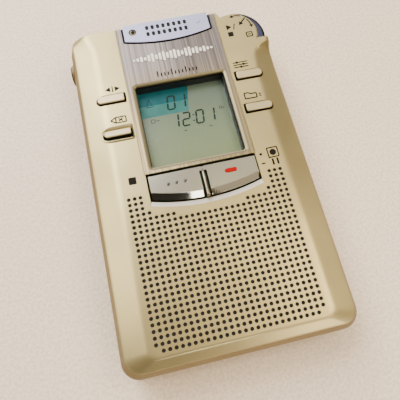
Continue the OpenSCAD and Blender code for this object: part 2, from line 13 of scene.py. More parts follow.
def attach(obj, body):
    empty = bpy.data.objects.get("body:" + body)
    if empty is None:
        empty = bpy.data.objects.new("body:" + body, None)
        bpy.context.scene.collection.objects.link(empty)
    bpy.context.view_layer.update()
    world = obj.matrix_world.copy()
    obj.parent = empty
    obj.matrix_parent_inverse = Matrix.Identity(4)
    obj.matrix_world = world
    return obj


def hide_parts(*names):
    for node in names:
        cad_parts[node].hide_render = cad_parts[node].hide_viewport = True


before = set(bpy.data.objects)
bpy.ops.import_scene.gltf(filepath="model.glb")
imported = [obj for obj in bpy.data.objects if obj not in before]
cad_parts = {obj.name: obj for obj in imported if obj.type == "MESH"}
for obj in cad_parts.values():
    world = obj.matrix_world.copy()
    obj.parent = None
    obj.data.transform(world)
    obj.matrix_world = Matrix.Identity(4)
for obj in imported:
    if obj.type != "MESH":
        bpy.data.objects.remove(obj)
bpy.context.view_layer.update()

MM = 0.001
ABOVE = 2.0  # how far a cutter rises over the face or passes a side

# Case: FACE is the height of its flat front, PARTING that of the joint between its halves
FACE = 15.0
HALF_W, HALF_L = 27.6, 45.2
PARTING = 5.0
SEAM = 0.12
WALL = 1.2
CORNER_R = 4.2
END_ROUND = 1.1
FLAT_INSET = 6.8
EDGE_STRIP = 1.3  # the steep strip down the sides, outside the bevels
END_SHARE = 0.385  # the lower end's bevel is this much narrower than the sides'

# Spans of Y over which the side bevels run out: at first and at last beside the dial, and on the left
FADE_SLOW, FADE_FAST, FADE_LEFT = (18.0, 33.0), (25.0, 33.0), (37.0, 44.0)

# Perforated field: a square grid of holes in a thin skin, over a dark lining
PITCH = 1.4
COLUMNS, ROWS, FULL_ROWS = 28, 26, 20
GRILLE_Y = -40.3
HOLE_R, HOLE_CHAMFER = 0.45, 0.03
PANEL_T, GRILLE_T = 0.7, 0.25

# Room for the felt under the field: its main part, and an ear on each side of the wide keys
FELT_HALF, FELT_LOW, FELT_HIGH, FELT_DEPTH = 20.2, -41.4, -11.3, 2.5
EAR_X, EAR_LOW, EAR_HIGH = 14.6, -12.0, -4.4

# Brushed strip and the window in it
TRIM_HALF, TRIM_LOW, TRIM_HIGH, TRIM_T = 13.95, 0.25, 44.9, 0.5
PLATE_GAP = 0.2
WINDOW_Y, WINDOW_W, WINDOW_L = 13.5, 24.0, 23.6
LCD_TOP = 11.5

# Wide keys: straight above, cut off by an arc below
ARC_Y, ARC_R = 40.85, 49.6
BAR_HALF = 13.9
BAR_TOP = FACE + 0.9
BAR_GAP = 0.42
PIP_PLACES, PIP_Y = (-8.9, -6.8, -4.7), -3.75

# Microphone cover: straight sides, an arc towards the strip
BEZEL_Y, BEZEL_R, BEZEL_HALF = 38.3, 45.8, 12.0
BEZEL_TOP = FACE + 0.14
BEZEL_GAP = 0.55
LAMP_X, LAMP_Y, LAMP_R = -9.5, 42.6, 0.92

# Dial, the lobe of the case over it and the shoulder of the case below it
DIAL_X, DIAL_Y, DIAL_R = 19.15, 36.85, 8.2
DIAL_TOP, DIAL_T = 13.6, 2.6
LOBE_X, LOBE_Y, LOBE_R, LOBE_EDGE = 18.1, 36.8, 6.65, 0.4
CUT_X, CUT_Y, CUT_R = 15.7, 34.2, 1.5

# Small keys: X of their inner end, their size, and the side and Y of each
KEY_X = 14.75
KEY_L, KEY_W = 7.8, 2.9
SMALL_KEYS = {
    "split_button": (-1, 22.9),
    "erase_button": (-1, 12.8),
    "mode_button": (1, 22.9),
    "folder_button": (1, 12.8),
}

# Earphone socket
JACK_Y, JACK_Z = 37.0, 8.2
JACK_R, COLLAR_R = 2.55, 2.95

CORNERS = ((1, 1, 0), (-1, 1, 90), (-1, -1, 180), (1, -1, 270))


# --- Meshes ------------------------------------------------------------------


def build(name, points, faces):
    """An object in the scene, from points in millimetres."""
    mesh = bpy.data.meshes.new(name)
    mesh.from_pydata([(x * MM, y * MM, z * MM) for x, y, z in points], [], faces)
    work = bmesh.new()
    work.from_mesh(mesh)
    bmesh.ops.remove_doubles(work, verts=work.verts, dist=1e-7)
    bmesh.ops.recalc_face_normals(work, faces=work.faces)
    work.to_mesh(mesh)
    work.free()
    obj = bpy.data.objects.new(name, mesh)
    bpy.context.scene.collection.objects.link(obj)
    return obj


def loft(name, rings, caps=True):
    """A skin through closed rings that have the same number of points."""
    count = len(rings[0])
    points = [p for ring in rings for p in ring]
    faces = []
    for level in range(len(rings) - 1):
        low, high = level * count, (level + 1) * count
        for i in range(count):
            j = (i + 1) % count
            faces.append((low + i, low + j, high + j, high + i))
    if caps:
        faces.append(tuple(range(count))[::-1])
        faces.append(tuple((len(rings) - 1) * count + i for i in range(count)))
    return build(name, points, faces)


def stack(name, outline, levels):
    """A solid whose plan is outline(inset) at each (height, inset) of levels, lowest first."""
    return loft(name, [[(x, y, z) for x, y in outline(inset)] for z, inset in levels])


def through(name, outline, depth):
    """A straight cutter, from above the face down to a depth below it."""
    return stack(name, outline, [(FACE - depth, 0), (FACE + ABOVE, 0)])


def rounded(z_low, z_high, radius, steps=4, foot=0.0):
    """Levels of a solid with a rounded upper edge."""
    levels = [(z_low, foot), (z_high - radius, foot)]
    for i in range(1, steps + 1):
        a = math.pi / 2 * i / steps
        levels.append((z_high - radius + radius * math.sin(a), foot + radius * (1 - math.cos(a))))
    return levels


def box(name, low, high):
    (x0, y0, z0), (x1, y1, z1) = low, high
    ring = [(x0, y0), (x1, y0), (x1, y1), (x0, y1)]
    return loft(name, [[(x, y, z) for x, y in ring] for z in (z0, z1)])


def join(name, objs):
    """One object from several, in the row frame."""
    points, faces = [], []
    for obj in objs:
        base = len(points)
        points += [obj.matrix_world @ v.co / MM for v in obj.data.vertices]
        faces += [tuple(base + i for i in p.vertices) for p in obj.data.polygons]
        bpy.data.objects.remove(obj)
    return build(name, points, faces)


def combine(obj, operation, *tools):
    """Applies an exact boolean with each tool in turn, and removes the tools."""
    for tool in tools:
        mod = obj.modifiers.new(operation, "BOOLEAN")
        mod.operation = operation
        mod.solver = "EXACT"
        mod.object = tool
        evaluated = obj.evaluated_get(bpy.context.evaluated_depsgraph_get())
        mesh = bpy.data.meshes.new_from_object(evaluated)
        obj.modifiers.clear()
        obj.data = mesh
        bpy.data.objects.remove(tool)
    return obj


def cut(obj, *tools):
    return combine(obj, "DIFFERENCE", *tools)


def at_socket(obj):
    """Turns a shape made round Z to the socket on the left side."""
    place = Matrix.Translation(Vector((-HALF_W, JACK_Y, JACK_Z)) * MM)
    obj.data.transform(place @ Matrix.Rotation(-math.pi / 2, 4, "Y"))
    return obj


def piece(obj, body, material, replaces=(), angle=32, soften=0.0):
    """Finishes a made piece: shading, material, and what it rides on and stands for."""
    mesh = obj.data
    mesh.materials.clear()
    mesh.materials.append(material)
    if soften:
        bevel = obj.modifiers.new("soften", "BEVEL")
        bevel.width = soften * MM
        bevel.segments = 3
        bevel.limit_method = "ANGLE"
        bevel.angle_limit = math.radians(35)
        bevel.harden_normals = False
        evaluated = obj.evaluated_get(bpy.context.evaluated_depsgraph_get())
        baked = bpy.data.meshes.new_from_object(evaluated)
        obj.modifiers.clear()
        obj.data = mesh = baked
    for p in mesh.polygons:
        p.use_smooth = True
    mesh.set_sharp_from_angle(angle=math.radians(angle))
    normals = obj.modifiers.new("normals", "WEIGHTED_NORMAL")
    normals.keep_sharp = True
    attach(obj, body)
    if replaces:
        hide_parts(*replaces)
    return obj


# --- Outlines ----------------------------------------------------------------


def arc(cx, cy, r, start, end, steps):
    """Points along an arc between two angles in degrees."""
    angles = [math.radians(start + (end - start) * i / steps) for i in range(steps + 1)]
    return [(cx + r * math.cos(a), cy + r * math.sin(a)) for a in angles]


def disc(x, y, r, steps=24):
    """A full circle of points."""
    return arc(x, y, r, 0, 360, steps)[:-1]


def rounded_rect(cx, cy, w, l, r, steps=6):
    """A rectangle's outline with corners of radius r."""
    loop = []
    for sx, sy, start in CORNERS:
        loop += arc(cx + sx * (w / 2 - r), cy + sy * (l / 2 - r), r, start, start + 90, steps)
    return loop


def window_rect(grow, radius):
    """Plan of the window, wider and longer by grow."""
    return rounded_rect(0, WINDOW_Y, WINDOW_W + grow, WINDOW_L + grow, radius)


def key_outline(side, y, length=KEY_L, width=KEY_W, start=KEY_X):
    """A small key's plan: square at the inner end, round at the outer end."""

    def outline(inset):
        r = width / 2 - inset
        corner = 0.35
        x0 = start + inset
        loop = arc(start + length - width / 2, 0, r, -90, 90, 14)
        loop += arc(x0 + corner, r - corner, corner, 90, 180, 4)
        loop += arc(x0 + corner, corner - r, corner, 180, 270, 4)
        loop = [(side * x, y + dy) for x, dy in loop]
        return loop if side > 0 else loop[::-1]

    return outline


def arc_outline(centre_y, radius, half, top, steps=48):
    """Straight sides and top, and an arc below, each moved in by inset."""

    def outline(inset):
        r, h = radius - inset, half - inset
        swing = math.degrees(math.asin(h / r))
        loop = arc(0, centre_y, r, -90 - swing, -90 + swing, steps)
        return loop + [(h, top - inset), (-h, top - inset)]

    return outline


def bezel_outline(inset=0.0):
    """The microphone cover's plan, running out past the case's end."""
    return arc_outline(BEZEL_Y + BEZEL_R, BEZEL_R - inset, BEZEL_HALF - inset, HALF_L + 3)


def grille_columns(row):
    """Columns with a hole: the rows under the wide keys have holes at their ends only."""
    if row == 0:
        return range(1, COLUMNS - 1)
    if row <= FULL_ROWS:
        return range(COLUMNS)
    ends = {FULL_ROWS + 1: 8, FULL_ROWS + 2: 4}.get(row, 3)
    return [c for c in range(COLUMNS) if c < ends or c >= COLUMNS - ends]


CELLS = {(c, row) for row in range(ROWS) for c in grille_columns(row)}


def cell_centre(c, row):
    return (c - (COLUMNS - 1) / 2) * PITCH, GRILLE_Y + row * PITCH


# --- Case surface ------------------------------------------------------------

# (distance in from the side, depth below the flat) down the side of the face
SIDE_PROFILE = [
    (8.0, 0.0), (7.5, 0.008), (7.05, 0.032), (6.6, 0.09), (6.2, 0.175), (5.7, 0.3), (5.0, 0.5),
    (3.4, 0.93), (1.6, 1.41), (1.34, 1.485), (1.22, 1.53), (1.14, 1.6), (1.07, 1.72),
    (0.72, 2.5), (0.38, 3.25), (0.2, 3.7), (0.07, 4.2), (0.0, 4.8),
]


def end_inset(side):
    """How far in the ends are on the level where the sides are in by side."""
    return side if side < EDGE_STRIP else EDGE_STRIP + (side - EDGE_STRIP) * END_SHARE


def top_inset(depth):
    """How far in the rounded microphone end is at a depth below the face, and the other way round."""
    if depth >= END_ROUND:
        return 0.0
    return END_ROUND - math.sqrt(END_ROUND**2 - (END_ROUND - depth) ** 2)


def climb(y, start, end):
    """0 up to start, 1 from end on."""
    return min(1.0, max(0.0, (y - start) / (end - start)))


def run_out(x, y, half, side, edge):
    """Moves a point of a side bevel out where the bevel fades towards the microphone end."""
    if x > 0:
        share = 0.25 * climb(y, *FADE_SLOW) ** 2 + 0.75 * climb(y, *FADE_FAST) ** 5
        return x * (1 + max(0.0, side - edge) * share / half)
    share = climb(y, *FADE_LEFT) ** 2
    return x * (1 + 2.4 * min(1.0, side / FLAT_INSET) * share / half)


def case_ring(z, side, bottom, top, radius, edge):
    """One level of the case, in from its sides and ends, with points close enough for the run-outs."""
    steps, along, across = 10, 60, 36
    half = HALF_W - side
    low, high = -HALF_L + bottom, HALF_L - top
    arcs = []
    for sx, sy, start in CORNERS:
        cy = high - radius if sy > 0 else low + radius
        arcs.append(arc(sx * (half - radius), cy, radius, start, start + 90, steps))
    loop = []
    for k in range(4):
        loop += arcs[k]
        (xa, ya), (xb, yb) = arcs[k][-1], arcs[(k + 1) % 4][0]
        count = across if k % 2 == 0 else along
        loop += [(xa + (xb - xa) * i / count, ya + (yb - ya) * i / count) for i in range(1, count)]
    return [(run_out(x, y, half, side, edge), y, z) for x, y in loop]


def case_rings(shrink=0.0, drop=0.0):
    """Levels from the foot of the side strips up to the flat, for the outside or the hollow."""
    rings = []
    for side, depth in reversed(SIDE_PROFILE):
        top = top_inset(depth) + shrink
        radius = CORNER_R - 0.32 * min(side, FLAT_INSET) - shrink / 2
        bottom = end_inset(side) + shrink
        rings.append(case_ring(FACE - depth - drop, side + shrink, bottom, top, radius, edge=top))
    return rings


def plain_ring(z, inset, radius=CORNER_R):
    """A level of the straight walls below the side strips."""
    return case_ring(z, inset, inset, inset, radius, edge=inset)


def front_skin():
    """The case's front half with all its openings and the collar of the socket."""
    foot = [plain_ring(PARTING, SEAM), plain_ring(PARTING + SEAM, 0.0)]
    case = loft("front_skin", foot + case_rings())
    floor = plain_ring(PARTING - 1, WALL, CORNER_R - WALL / 2)
    cut(case, loft("hollow", [floor] + case_rings(WALL, WALL)))
    collar = stack("boss", lambda i: disc(0, 0, COLLAR_R - i, 40), rounded(-1.0, 0.5, 0.25))
    combine(case, "UNION", at_socket(collar))
    return cut(case, *dial_cutters(), *face_cutters())


def shoulder(radius, end):
    """The case's rounded shoulder below the dial, then out round the corner up to Y end."""
    x, y = HALF_W - CUT_R, CUT_Y - CUT_R
    return arc(x, y, radius, 90, 0, 8) + [(HALF_W + ABOVE, y), (HALF_W + ABOVE, end)]


def lobe_surround(inset):
    """Plan of the corner that is open above the dial: outside the lobe and the shoulder."""
    r = LOBE_R - inset
    first = math.degrees(math.acos((CUT_X - inset - LOBE_X) / r))
    last = math.degrees(math.asin((CUT_Y - inset - LOBE_Y) / r))
    end = HALF_L + 1.6
    loop = [(CUT_X - 2.4 - inset, end)] + arc(LOBE_X, LOBE_Y, r, first, last, 44)
    return loop + shoulder(CUT_R - inset, end)


def open_corner():
    """Plan of the corner that the dial fills, at its own height."""
    end = HALF_L + 1.5
    return [(CUT_X - 1.7, end), (CUT_X, HALF_L - 2), (CUT_X, CUT_Y)] + shoulder(CUT_R, end)


def dial_cutters():
    """The dial's pocket, the open corner round it and the rounded outline of the lobe above."""
    floor, roof = DIAL_TOP - DIAL_T - 0.3, DIAL_TOP + 0.15
    room = disc(DIAL_X - 0.3, DIAL_Y - 0.3, DIAL_R + 1.0, 80)
    pocket = stack("pocket", lambda i: room, [(floor, 0), (roof, 0)])
    corner = stack("corner", lambda i: open_corner(), [(floor + 0.01, 0), (roof - 0.1, 0)])
    e = LOBE_EDGE
    edge = [(roof - 0.2, 0.0), (FACE - e, 0.0)]
    edge += [(FACE - e + e * math.sin(a), e - e * math.cos(a)) for a in (0.4, 0.8, 1.2, 1.5)]
    edge += [(FACE + 0.05, e + 0.06), (FACE + ABOVE, e + 0.06)]
    return pocket, corner, stack("above", lobe_surround, edge)


def key_cutters():
    """Openings for the small keys, chamfered; the erase key's is at the bottom of a shallow well."""
    tools = []
    for name, (side, y) in SMALL_KEYS.items():
        if name == "erase_button":
            well = key_outline(side, y - 0.1, 9.1, 4.5, KEY_X - 0.35)
            levels = [(-0.62, 0.78), (-0.5, 0.6), (-0.1, 0.12), (0.0, 0.0), (ABOVE, -0.01)]
            tools.append(stack("well", well, [(FACE + z, inset) for z, inset in levels]))
            tools.append(through("key_hole", key_outline(side, y, KEY_L - 0.1, KEY_W - 0.3), 4.0))
        else:
            levels = [(-4.0, 0.0), (-0.1, 0.0), (0.001, -0.1), (ABOVE, -0.11)]
            outline = key_outline(side, y)
            tools.append(stack("key_hole", outline, [(FACE + z, inset) for z, inset in levels]))
    return tools


def face_cutters():
    """Everything that is cut out of the face."""
    half = TRIM_HALF + PLATE_GAP
    tools = [
        box("trim_pocket", (-half, TRIM_LOW - PLATE_GAP, FACE - TRIM_T), (half, HALF_L + 15, FACE + 5)),
        through("window_hole", lambda i: window_rect(0.7, 0.9), 3.0),
        through("bar_hole", arc_outline(ARC_Y, ARC_R, BAR_HALF, TRIM_LOW + 0.2), 3.0),
        scoop(),
        through("bezel_hole", bezel_outline(-BEZEL_GAP), 4.0),
        *key_cutters(),
        cell_block("panel_hole", FACE - 4, FACE + 1),
    ]
    low, high = FACE - FELT_DEPTH, FACE - PANEL_T - 0.01
    tools.append(box("felt_room", (-FELT_HALF, FELT_LOW, low), (FELT_HALF, FELT_HIGH, high)))
    for side in (-1, 1):
        x = sorted((side * EAR_X, side * FELT_HALF))
        tools.append(box("felt_ear", (x[0], EAR_LOW, low), (x[1], EAR_HIGH, high - 0.002)))
    tools.append(at_socket(stack("jack_hole", lambda i: disc(0, 0, JACK_R, 40), [(-3, 0), (3, 0)])))
    return tools


def swept(name, profile, swing, steps):
    """A profile of (radius, height) carried along the wide keys' arc, by swing degrees each way."""
    rings = []
    for i in range(2 * steps + 1):
        a = math.radians(-90 + swing * (i / steps - 1))
        rings.append([(r * math.cos(a), ARC_Y + r * math.sin(a), z) for r, z in profile])
    return loft(name, rings)


def scoop():
    """The hollow along the curved edge of the wide keys."""
    profile = [(-1, -0.5), (-0.1, -0.46), (0.5, -0.31), (1.15, -0.12), (1.22, 0), (1.22, 1), (-1, 1)]
    return swept("scoop", [(ARC_R + out, FACE + z) for out, z in profile], 16.2, 20)


def scoop_highlight():
    """A pale strip that fills the bottom of the scoop: a painted highlight."""
    profile = [(0.03, -0.6), (1.2, -0.4), (1.2, -0.07), (1.12, -0.08), (0.5, -0.25), (0.03, -0.38)]
    return swept("scoop_highlight", [(ARC_R + out, FACE + z) for out, z in profile], 16.1, 20)


def cell_block(name, z_low, z_high):
    """A solid block under every cell of the perforated field."""
    points, faces = [], []
    for c, row in sorted(CELLS):
        x, y = cell_centre(c, row)
        h = PITCH / 2
        ring = [(x - h, y - h), (x + h, y - h), (x + h, y + h), (x - h, y + h)]
        base = len(points)
        points += [(px, py, z_low) for px, py in ring] + [(px, py, z_high) for px, py in ring]
        faces += [(base + 3, base + 2, base + 1, base), (base + 4, base + 5, base + 6, base + 7)]
        for k, step in enumerate(((0, -1), (1, 0), (0, 1), (-1, 0))):
            if (c + step[0], row + step[1]) not in CELLS:
                j = (k + 1) % 4
                faces.append((base + k, base + j, base + 4 + j, base + 4 + k))
    return build(name, points, faces)


def grille_skin():
    """The perforated field: one chamfered hole in every cell, and walls along the field's edge."""
    segments = 24
    directions = arc(0, 0, 1, 45, 405, segments)[:-1]
    points, faces = [], []
    low = FACE - GRILLE_T
    for c, row in sorted(CELLS):
        cx, cy = cell_centre(c, row)
        reach = [PITCH / 2 / max(abs(dx), abs(dy)) for dx, dy in directions]
        levels = (
            (reach, low), (reach, FACE), ([HOLE_R + HOLE_CHAMFER] * segments, FACE),
            ([HOLE_R] * segments, FACE - HOLE_CHAMFER), ([HOLE_R] * segments, low), (reach, low),
        )
        base = len(points)
        for radii, z in levels:
            points += [(cx + r * dx, cy + r * dy, z) for r, (dx, dy) in zip(radii, directions)]
        for level in range(len(levels) - 1):
            for i in range(segments):
                step = ((0, 1), (-1, 0), (0, -1), (1, 0))[4 * i // segments]
                if level == 0 and (c + step[0], row + step[1]) in CELLS:
                    continue
                j = (i + 1) % segments
                a, b = base + level * segments, base + (level + 1) * segments
                faces.append((a + i, a + j, b + j, b + i))
    return build("grille_skin", points, faces)


# --- Materials ---------------------------------------------------------------


WHITE = (1.0, 1.0, 1.0)
SIDE_SHADE_Z = (13.2, 13.65)  # heights over which the painted shade of the steep sides gives way to the face's colour

SOCKETS = {
    "colour": "Base Color",
    "rough": "Roughness",
    "metal": "Metallic",
    "coat": "Coat Weight",
    "coat_rough": "Coat Roughness",
    "specular": "Specular IOR Level",
    "aniso": "Anisotropic",
}


class Graph:
    """A short way to wire a material."""

    def __init__(self, name):
        self.material = bpy.data.materials.new(name)
        self.material.use_nodes = True
        self.tree = self.material.node_tree
        self.tree.nodes.clear()
        self.out = self.node("ShaderNodeOutputMaterial")
        self.bsdf = self.node("ShaderNodeBsdfPrincipled")
        self.link(self.bsdf.outputs[0], self.out.inputs[0])
        self.coords = self.node("ShaderNodeTexCoord").outputs["Object"]

    def node(self, kind, **values):
        made = self.tree.nodes.new(kind)
        for key, value in values.items():
            setattr(made, key, value)
        return made

    def link(self, a, b):
        self.tree.links.new(a, b)

    def feed(self, socket, value):
        """Links a socket to another, or sets it to a number or a colour."""
        if isinstance(value, bpy.types.NodeSocket):
            self.link(value, socket)
        else:
            socket.default_value = (*value, 1.0) if isinstance(value, tuple) else value

    def scaled(self, scale):
        mapping = self.node("ShaderNodeMapping")
        mapping.inputs["Scale"].default_value = scale
        self.link(self.coords, mapping.inputs["Vector"])
        return mapping.outputs[0]

    def noise(self, scale=(1, 1, 1), detail=2.0, size=1000.0):
        made = self.node("ShaderNodeTexNoise")
        made.inputs["Scale"].default_value = size
        made.inputs["Detail"].default_value = detail
        self.link(self.scaled(scale), made.inputs["Vector"])
        return made.outputs["Fac"]

    def cells(self, size):
        made = self.node("ShaderNodeTexVoronoi")
        made.inputs["Scale"].default_value = size
        self.link(self.coords, made.inputs["Vector"])
        return made.outputs["Color"]

    def ramp(self, value, *stops):
        made = self.node("ShaderNodeValToRGB")
        self.link(value, made.inputs[0])
        elements = made.color_ramp.elements
        while len(elements) < len(stops):
            elements.new(0.5)
        for element, (place, colour) in zip(elements, stops):
            element.position = place
            element.color = (*colour, 1.0)
        return made.outputs[0]

    def mix(self, a, b, factor=0.5, blend="MIX"):
        made = self.node("ShaderNodeMix", data_type="RGBA", blend_type=blend)
        for place, value in ((0, factor), (6, a), (7, b)):
            self.feed(made.inputs[place], value)
        return made.outputs[2]

    def remap(self, value, low, high, from_low=0.0, from_high=1.0):
        made = self.node("ShaderNodeMapRange")
        self.link(value, made.inputs[0])
        for i, v in enumerate((from_low, from_high, low, high)):
            made.inputs[i + 1].default_value = v
        return made.outputs[0]

    def value(self, colour):
        made = self.node("ShaderNodeRGBToBW")
        self.link(colour, made.inputs[0])
        return made.outputs[0]

    def axis(self, letter):
        split = self.node("ShaderNodeSeparateXYZ")
        self.link(self.coords, split.inputs[0])
        return split.outputs[letter]

    def bump(self, height, strength, distance=0.0001):
        made = self.node("ShaderNodeBump")
        made.inputs["Strength"].default_value = strength
        made.inputs["Distance"].default_value = distance
        self.link(height, made.inputs["Height"])
        self.link(made.outputs[0], self.bsdf.inputs["Normal"])

    def set(self, **values):
        for key, value in values.items():
            self.feed(self.bsdf.inputs[SOCKETS[key]], value)
        return self.material


def flake_paint(name, colour, metal=0.78, rough=0.34, side_shade=WHITE):
    """Metallic paint: fine flakes, a slight unevenness and painted shade darkening the steep sides."""
    g = Graph(name)
    dark = tuple(c * 0.9 for c in colour)
    light = tuple(min(1, c * 1.07) for c in colour)
    slow = g.ramp(g.noise(size=60), (0.35, dark), (0.65, light))
    flakes = g.ramp(g.cells(9000), (0.2, (0.82, 0.8, 0.78)), (0.9, WHITE))
    body = g.mix(slow, flakes, 0.35, "MULTIPLY")
    level = g.remap(g.axis("Z"), 0.0, 1.0, SIDE_SHADE_Z[0] * MM, SIDE_SHADE_Z[1] * MM)
    # Painted shade: the colour darkens below the face, down the steep sides
    body = g.mix(body, g.mix(side_shade, WHITE, level), 1.0, "MULTIPLY")
    g.bump(g.noise(size=5200, detail=1), 0.06, 0.00004)
    satin = g.remap(g.noise(size=300), rough - 0.04, rough + 0.06)
    if side_shade != WHITE:
        satin = g.remap(level, 0.56, rough)
        metal = g.remap(level, 0.25, metal)
    return g.set(colour=body, rough=satin, metal=metal, coat=0.05, coat_rough=0.3)


def brushed(name, top, low):
    """Brushed metal with hairlines along Y, cooler towards the microphone end."""
    g = Graph(name)
    lines = g.noise(scale=(5.0, 0.03, 1.0), detail=3, size=420)
    along = g.remap(g.axis("Y"), 0.0, 1.0, 0.016, 0.032)
    base = g.mix(low, top, along)
    shade = g.ramp(lines, (0.38, (0.42, 0.42, 0.42)), (0.6, WHITE))
    g.bump(lines, 0.3, 0.00004)
    colour = g.mix(base, shade, 0.8, "MULTIPLY")
    return g.set(colour=colour, metal=0.85, rough=g.remap(lines, 0.26, 0.42), aniso=0.5)


def plastic(name, colour, rough=0.45, grain=2500, bump=0.08, coat=0.0, metal=0.0, spread=0.08, specular=0.5):
    """A plain material whose tone, gloss and height vary a little."""
    g = Graph(name)
    dark = tuple(c * (1 - spread) for c in colour)
    light = tuple(min(1, c * (1 + spread)) for c in colour)
    g.bump(g.noise(size=grain), bump, 0.00003)
    tone = g.ramp(g.noise(size=grain / 6), (0.35, dark), (0.65, light))
    satin = g.remap(g.noise(size=grain / 3), rough * 0.88, rough * 1.12)
    return g.set(colour=tone, rough=satin, coat=coat, metal=metal, specular=specular)


def key_metal(name, colour):
    """Satin plating on the flat top, polished on the slope below it."""
    g = Graph(name)
    tone = g.ramp(g.noise(size=150), (0.35, tuple(c * 0.97 for c in colour)), (0.65, colour))
    top = g.remap(g.axis("Z"), 0.0, 1.0, (BAR_TOP - 0.1) * MM, (BAR_TOP - 0.02) * MM)
    polish = g.mix((0.07, 0.07, 0.07), (0.26, 0.26, 0.26), top)
    g.bump(g.noise(size=900), 0.02, 0.00002)
    return g.set(colour=tone, rough=g.value(polish), metal=0.97)


def glass(name, tint):
    """A clear sheet that light passes straight through, with a faint reflection."""
    share = 0.001
    g = Graph(name)
    clear = g.node("ShaderNodeBsdfTransparent")
    clear.inputs[0].default_value = (*tint, 1.0)
    smears = g.remap(g.noise(size=90), share * 0.85, share * 1.15)
    mixed = g.node("ShaderNodeMixShader")
    g.link(smears, mixed.inputs[0])
    g.link(clear.outputs[0], mixed.inputs[1])
    g.link(g.bsdf.outputs[0], mixed.inputs[2])
    g.link(mixed.outputs[0], g.out.inputs[0])
    return g.set(colour=(0.9, 0.92, 0.95), metal=1.0, rough=0.08)


def lcd_glass(name):
    """The display's olive ground, darker towards the microphone end: painted shade of the recess's upper
    wall.
    """
    g = Graph(name)
    low, high = (0.20, 0.235, 0.115), (0.115, 0.15, 0.11)
    # Painted shade: the second tone is the ground in the shadow of the recess's upper wall
    along = g.remap(g.axis("Y"), 0.0, 1.0, 0.004, 0.024)
    grain = g.ramp(g.noise(size=1500), (0.3, (0.93, 0.93, 0.93)), (0.7, WHITE))
    g.bump(g.noise(size=3000), 0.02, 0.00001)
    return g.set(colour=g.mix(g.mix(low, high, along), grain, 1.0, "MULTIPLY"), rough=0.3)


def table_top(name):
    """Pale matt card with fine glittering specks."""
    g = Graph(name)
    slow = g.ramp(g.noise(size=7, detail=3), (0.3, (0.95, 0.765, 0.57)), (0.7, (0.99, 0.81, 0.62)))
    fine = g.ramp(g.noise(size=1300, detail=3), (0.38, (0.82, 0.80, 0.77)), (0.6, WHITE))
    g.bump(g.noise(size=900, detail=3), 0.5, 0.0003)
    return g.set(colour=g.mix(slow, fine, 0.9, "MULTIPLY"), rough=0.5)


# The champagne paint's darker side colour is painted shade, and it also covers the back case and battery door
PAINT = flake_paint("champagne_paint", (0.49, 0.395, 0.18), side_shade=(0.46, 0.39, 0.28))
KEY_PAINT = flake_paint("key_paint", (0.55, 0.44, 0.225), metal=0.35, rough=0.3)
TRIM = brushed("brushed_trim", (0.29, 0.245, 0.225), (0.42, 0.33, 0.18))
# Painted highlight for the light that the scoop below the wide keys reflects
SCOOP_HIGHLIGHT = flake_paint("scoop_painted_highlight", (0.68, 0.62, 0.53), metal=0.6, rough=0.36)
RIM = flake_paint("window_rim", (0.19, 0.155, 0.075), metal=0.5, rough=0.3)
CHROME = key_metal("chrome_key", (0.355, 0.335, 0.27))
RIB = key_metal("chrome_rib", (0.26, 0.235, 0.165))
BEZEL = plastic("bezel", (0.44, 0.44, 0.63), rough=0.42, grain=800, bump=0.02, metal=0.45, spread=0.03)
# Painted reflection: the silver wheel's dark blue colour stands for the bluish window it mirrors
DIAL = plastic("dial_silver", (0.05, 0.056, 0.085), rough=0.25, grain=900, bump=0.04, metal=0.9)
BLACK = plastic("black_plastic", (0.012, 0.012, 0.013), rough=0.35)
INK = plastic("ink", (0.012, 0.010, 0.008), rough=0.85, bump=0.03, specular=0.1)
CREAM = plastic("cream_relief", (0.95, 0.90, 0.74), rough=0.4)
FELT = plastic("felt", (0.008, 0.008, 0.008), rough=0.95, grain=1800, bump=0.5)
RUBBER = plastic("rubber", (0.02, 0.021, 0.023), rough=0.75)
STEEL = plastic("steel", (0.52, 0.52, 0.54), rough=0.3, metal=1.0, spread=0.05)
BOARD = plastic("board_green", (0.02, 0.13, 0.06), rough=0.35, coat=0.4, spread=0.2)
CHIP = plastic("chip", (0.02, 0.021, 0.023), rough=0.5)
GREY = plastic("dark_grey", (0.05, 0.05, 0.05), rough=0.4)
TAN = plastic("cap_tan", (0.36, 0.22, 0.10), rough=0.5)
CONE = plastic("cone_paper", (0.025, 0.022, 0.019), rough=0.85, bump=0.4)
JACKET = plastic("cell_jacket", (0.05, 0.12, 0.26), rough=0.28, coat=0.6, metal=0.3)
RED = plastic("red_mark", (0.38, 0.001, 0.0015), rough=0.6, specular=0.05)
LENS = plastic("lamp_lens", (0.30, 0.25, 0.13), rough=0.15, coat=0.6)
LCD = lcd_glass("lcd")
TEAL = plastic("lcd_teal", (0.038, 0.165, 0.155), rough=0.4, specular=0.2)
# A darker copy of the teal: painted shade
TEAL_SHADED = plastic("lcd_teal_shaded", (0.004, 0.095, 0.115), rough=0.4, specular=0.2)
SEGMENT = plastic("lcd_segment", (0.022, 0.034, 0.03), rough=0.8, specular=0.1)
WINDOW = glass("window", (0.97, 0.985, 0.98))

